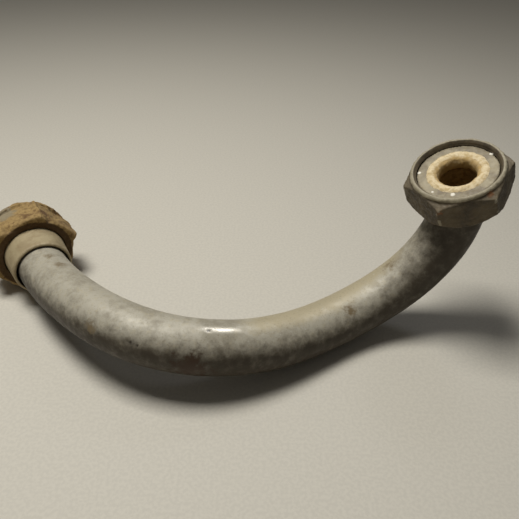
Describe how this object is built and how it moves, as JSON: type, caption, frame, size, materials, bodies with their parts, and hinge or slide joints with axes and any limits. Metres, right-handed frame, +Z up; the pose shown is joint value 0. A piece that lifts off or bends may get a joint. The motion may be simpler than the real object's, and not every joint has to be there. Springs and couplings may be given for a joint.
{
  "type": "bent pipe with union nuts",
  "caption": "Corroded metal pipe in a swept three-dimensional bend, with a flanged sleeve and a loose hexagonal union nut on each end.",
  "frame": {"origin": "on the floor, below the middle of the bounding box", "axes": "+Z up; +X along the pipe's span, from the end that lies on the floor to the end that stands up; +Y away from the bend's outer side"},
  "size_m": [0.2934, 0.1228, 0.1096],
  "materials": {
    "tube_metal": "dull grey zinc-coated steel with brown staining and pits",
    "sleeve_metal": "grey steel under cream and ochre lime scale",
    "nut_left_metal": "ochre rust and scale over malleable iron",
    "nut_right_metal": "dark grey-brown malleable iron with worn lighter edges"
  },
  "bodies": {
    "pipe": {"bent_tube": "tube_metal", "sleeve_left": "sleeve_metal", "sleeve_right": "sleeve_metal"},
    "left_nut": {"nut_left": "nut_left_metal"},
    "right_nut": {"nut_right": "nut_right_metal"}
  },
  "joints": [
    {"name": "left_nut_turn", "type": "hinge", "parent": "pipe", "child": "left_nut", "pos_m": [-0.11827, 0.03561, 0.023], "axis": [-0.5693, 0.8221, 0], "continuous": true},
    {"name": "right_nut_turn", "type": "hinge", "parent": "pipe", "child": "right_nut", "pos_m": [0.11814, 0.00682, 0.09744], "axis": [-0.355, -0.205, 0.9121], "continuous": true}
  ]
}
